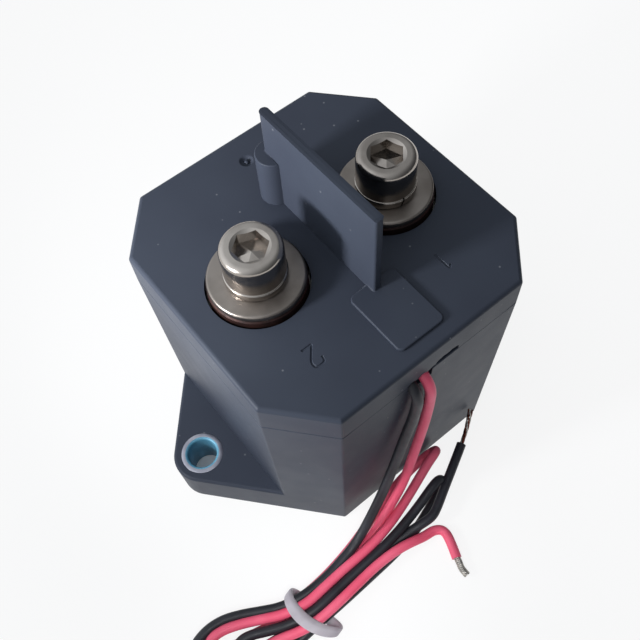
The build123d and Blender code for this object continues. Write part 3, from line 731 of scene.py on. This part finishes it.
red_cover = finish(
    "red_pvc", [(226, 82, 110), (238, 104, 130)],
    patch=90, rough=(0.44, 0.56), grain=2500, bump=0.02,
)
black_cover = finish(
    "black_pvc", [(30, 30, 35), (45, 45, 51)],
    patch=90, rough=(0.42, 0.54), grain=2500, bump=0.02,
)
for covering in (red_cover, black_cover):
    covering.node_tree.nodes["Principled BSDF"].inputs["Specular IOR Level"].default_value = 0.38

red_route = [
    (-1.8, -28.15, 36.5), (-1.8, -27.45, 46.85), (-1.8, -28.15, 57.2), (-2.3, -36.0, 57.6),
    (-1.4, -35.5, 45), (-1.9, -35.3, 32), (-4.2, -35.7, 19.5), (-7.4, -36.9, 10),
    (-12.6, -38.2, 4.4), (-19.0, -40.0, 1.4), (-27, -42.1, 1.2), (-37, -43.3, 2.0),
    (-43.4, -43.5, 2.3), (-49.5, -42.6, 1.6), (-55.5, -40.5, 1.2), (-61.5, -39.5, 1.2),
    (-65.4, -39.3, 1.2), (-66.9, -38.1, 1.95), (-66.9, -36.4, 3.05), (-65.4, -35.2, 3.8),
    (-62.2, -35.3, 3.8), (-58.0, -36.9, 3.7), (-53.5, -39.3, 3.9), (-48.8, -41.9, 4.6),
    (-43.4, -43.4, 4.8), (-37.7, -43.0, 4.5), (-31, -42.6, 3.9), (-26.0, -42.6, 3.7),
    (-20.5, -42.3, 3.7), (-14.5, -41.2, 3.8), (-8.8, -39.6, 4.1), (-3.2, -37.8, 4.6),
    (1.2, -36.4, 5.4), (4.1, -35.7, 5.9), (5.7, -35.0, 4.6), (5.7, -34.2, 2.5), (4.1, -33.7, 1.2),
    (0.4, -33.7, 1.2), (-4.2, -34.1, 1.2), (-9.2, -34.9, 1.2), (-15, -36.1, 1.2),
    (-22, -38.3, 1.2), (-30, -40.0, 1.2), (-37.4, -41.0, 1.9), (-43.4, -41.1, 2.2),
    (-48.6, -39.9, 1.6), (-54.5, -36.7, 1.2), (-60, -34.0, 1.2), (-65.5, -33.4, 1.2),
    (-69.2, -35.6, 1.3), (-69.8, -40.0, 1.5), (-67.6, -43.3, 2.4), (-63.5, -44.6, 3.4),
    (-58.0, -44.3, 3.7), (-52.8, -45.4, 3.8), (-48.2, -47.2, 4.3), (-43.4, -48.0, 4.7),
    (-37.4, -47.8, 4.3), (-31, -47.3, 3.8), (-25, -46.9, 3.7), (-19.1, -47.2, 3.7),
    (-14.6, -48.0, 3.1), (-11.0, -48.8, 1.7), (-7.7, -49.1, 1.3), (-5.9, -50.8, 1.3),
    (-6.9, -54.4, 1.3), (-8.3, -57.6, 1.3),
]
black_route = [
    (-4.8, -28.15, 36.5), (-4.8, -27.45, 46.85), (-4.8, -28.15, 57.2), (-5.6, -36.0, 57.6),
    (-5.4, -35.5, 47), (-7.9, -35.6, 36.5), (-11.2, -36.4, 26), (-15.1, -37.3, 16),
    (-19.9, -38.4, 8.2), (-25.2, -39.9, 4.4), (-31.4, -40.9, 3.7), (-37.3, -41.6, 3.9),
    (-43.4, -41.4, 4.3), (-48.6, -40.0, 4.0), (-52.6, -37.7, 3.7), (-56.7, -35.3, 3.6),
    (-61, -33.4, 3.6), (-65.6, -33.0, 3.7), (-69.8, -34.2, 3.6), (-71.9, -38.2, 3.0),
    (-71.5, -43.8, 1.7), (-68.0, -47.2, 1.2), (-61.5, -48.1, 1.2), (-54.5, -48.2, 1.3),
    (-49, -48.2, 1.7), (-43.4, -48.1, 2.3), (-37.4, -48.0, 2.0), (-28, -47.6, 1.2),
    (-18, -47.2, 1.2), (-11.6, -46.3, 1.2), (-7.2, -45.0, 1.2), (-3.2, -43.7, 1.2),
    (-0.2, -42.6, 1.3), (1.4, -42.0, 2.6), (1.5, -41.4, 4.4), (0.3, -41.2, 5.6),
    (-2.2, -41.6, 5.6), (-5.0, -42.2, 4.6), (-8.4, -42.9, 3.9), (-12.7, -43.7, 3.7),
    (-17.5, -44.4, 3.6), (-22.5, -44.8, 3.6), (-32.8, -45.1, 3.7), (-38.1, -45.5, 4.3),
    (-43.4, -45.8, 4.7), (-49.5, -44.4, 4.3), (-54.5, -42.0, 3.8), (-57.4, -40.5, 3.8),
    (-60.1, -39.9, 3.8), (-61.8, -40.6, 3.3), (-62.1, -42.1, 2.1), (-60.8, -43.5, 1.3),
    (-57.4, -44.0, 1.2), (-52.5, -44.8, 1.3), (-48, -45.4, 1.8), (-43.4, -45.7, 2.3),
    (-37.4, -45.5, 2.0), (-28, -45.0, 1.2), (-20, -45.1, 1.2), (-15.0, -45.5, 1.9),
    (-10.2, -46.3, 3.5), (-6.6, -46.8, 3.8), (-4.0, -45.8, 3.9), (0.8, -43.3, 4.2),
    (5.9, -40.8, 4.8), (11.4, -38.0, 5.4),
]
red_lead = lead_line("red_lead", red_route, lead_diameter, red_cover)
black_lead = lead_line("black_lead", black_route, lead_diameter, black_cover)
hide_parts("lead_red", "lead_red_end", "lead_hank")
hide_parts("lead_black", "lead_black_end")
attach(red_lead, "case_body")
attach(black_lead, "case_body")

# Bared lead ends
# The red lead's strands are twisted tight and tinned. The black lead's are looser, part of them
# bare copper that has gone dark, and they spread at the tip.
dark_copper = finish(
    "dark_copper", [(72, 34, 28), (120, 66, 52)],
    patch=900, rough=(0.3, 0.45), grain=9000, bump=0.02, metallic=0.9,
)


def strands(name, route, wires, wire_size, lay, spread, pitch, materials):
    """Thin wires twisted round the smooth line of a short route. Sizes in millimetres."""
    axis = lead_line("axis", route, 0, materials[0])
    line = bpy.data.meshes.new_from_object(axis)
    places = [vertex.co * 1000 for vertex in line.vertices]
    bpy.data.objects.remove(axis)
    whole = sum((b - a).length for a, b in zip(places, places[1:]))
    made = []
    for wire in range(wires):
        curve = bpy.data.curves.new(name, "CURVE")
        curve.dimensions = "3D"
        curve.bevel_depth = wire_size / 2000
        curve.bevel_resolution = 2
        curve.use_fill_caps = True
        spline = curve.splines.new("POLY")
        spline.points.add(len(places) - 1)
        gone = 0.0
        for step, place in enumerate(places):
            ahead = (places[min(step + 1, len(places) - 1)] - places[max(step - 1, 0)]).normalized()
            aside = ahead.cross(Vector((0, 0, 1))).normalized()
            above = aside.cross(ahead)
            angle = 2 * math.pi * (gone / pitch + wire / wires)
            reach = lay + spread * (gone / whole) ** 2
            spot = (place + (aside * math.cos(angle) + above * math.sin(angle)) * reach) / 1000
            spline.points[step].co = (*spot, 1)
            if step + 1 < len(places):
                gone += (places[step + 1] - place).length
        curve.materials.append(materials[wire % len(materials)])
        piece = bpy.data.objects.new(name, curve)
        bpy.context.scene.collection.objects.link(piece)
        made.append(piece)
    bpy.ops.object.select_all(action="DESELECT")
    for piece in made:
        piece.select_set(True)
    bpy.context.view_layer.objects.active = made[0]
    bpy.ops.object.convert(target="MESH")
    bpy.ops.object.join()
    bundle = bpy.context.object
    bundle.name = name
    bpy.ops.object.shade_smooth()
    return bundle


red_tip = [(-7.9, -56.7, 1.3), (-8.5, -58.6, 1.35), (-9.2, -60.2, 1.3), (-9.1, -62.0, 1.1)]
black_tip = [
    (10.5, -38.45, 5.25), (12.6, -37.4, 5.7), (15.0, -36.0, 6.5), (17.2, -34.4, 7.6),
    (18.6, -33.4, 8.6),
]
red_wires = strands(
    "red_lead_wires", red_tip,
    wires=7, wire_size=0.6, lay=0.56, spread=0.0, pitch=4.0, materials=[tinned],
)
black_wires = strands(
    "black_lead_wires", black_tip,
    wires=5, wire_size=0.38, lay=0.33, spread=0.22, pitch=9.0, materials=[dark_copper, tinned],
)
for wires, node in ((red_wires, "red_lead_strands"), (black_wires, "black_lead_strands")):
    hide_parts(node)
    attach(wires, "case_body")

# Hank band
# A soft milky nylon band, slipped round the folded leads. It is loose, so it leans away from the
# case.
band_centre = Vector((-43.13, -45.63, 3.5))
band_across, band_up, band_width = 7.7, 3.5, 2.4
band_thickness, band_edge = 1.0, 0.48
band_yaw, band_lean, band_curl = -14.3, 0.675, 107
milky = finish(
    "milky_nylon", [(166, 158, 165), (182, 175, 181)],
    patch=200, rough=(0.38, 0.5), grain=3000, bump=0.02,
)
milky_shader = milky.node_tree.nodes["Principled BSDF"]
milky_shader.inputs["Subsurface Weight"].default_value = 0.35
milky_shader.inputs["Subsurface Radius"].default_value = (0.0015, 0.0014, 0.0015)
bpy.ops.object.select_all(action="DESELECT")
bpy.ops.mesh.primitive_cylinder_add(
    vertices=96, radius=0.001, depth=band_width / 1000, end_fill_type="NOTHING",
    location=band_centre / 1000, rotation=(0, math.pi / 2, 0),
)
band = bpy.context.object
band.name = "hank_band"
bpy.ops.object.transform_apply(location=True, rotation=True)
bpy.ops.object.mode_set(mode="EDIT")
bpy.ops.mesh.select_all(action="SELECT")
bpy.ops.transform.resize(value=(1, band_across, band_up), center_override=band_centre / 1000)
bpy.ops.object.mode_set(mode="OBJECT")
thick = band.modifiers.new("thick", "SOLIDIFY")
thick.thickness = band_thickness / 1000
thick.offset = -1
bpy.ops.object.modifier_apply(modifier="thick")
edge = band.modifiers.new("edge", "BEVEL")
edge.width = band_edge / 1000
edge.segments = 5
bpy.ops.object.modifier_apply(modifier="edge")
band_middle, yaw = band_centre / 1000, math.radians(band_yaw)
for vertex in band.data.vertices:
    east, north, rise = vertex.co - band_middle
    east -= band_lean * rise + band_curl * rise ** 2
    vertex.co.x = band_middle.x + east * math.cos(yaw) + north * math.sin(yaw)
    vertex.co.y = band_middle.y - east * math.sin(yaw) + north * math.cos(yaw)
bpy.ops.object.shade_smooth_by_angle(angle=math.radians(60))
band.data.materials.append(milky)
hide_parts("cable_tie")
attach(band, "case_body")
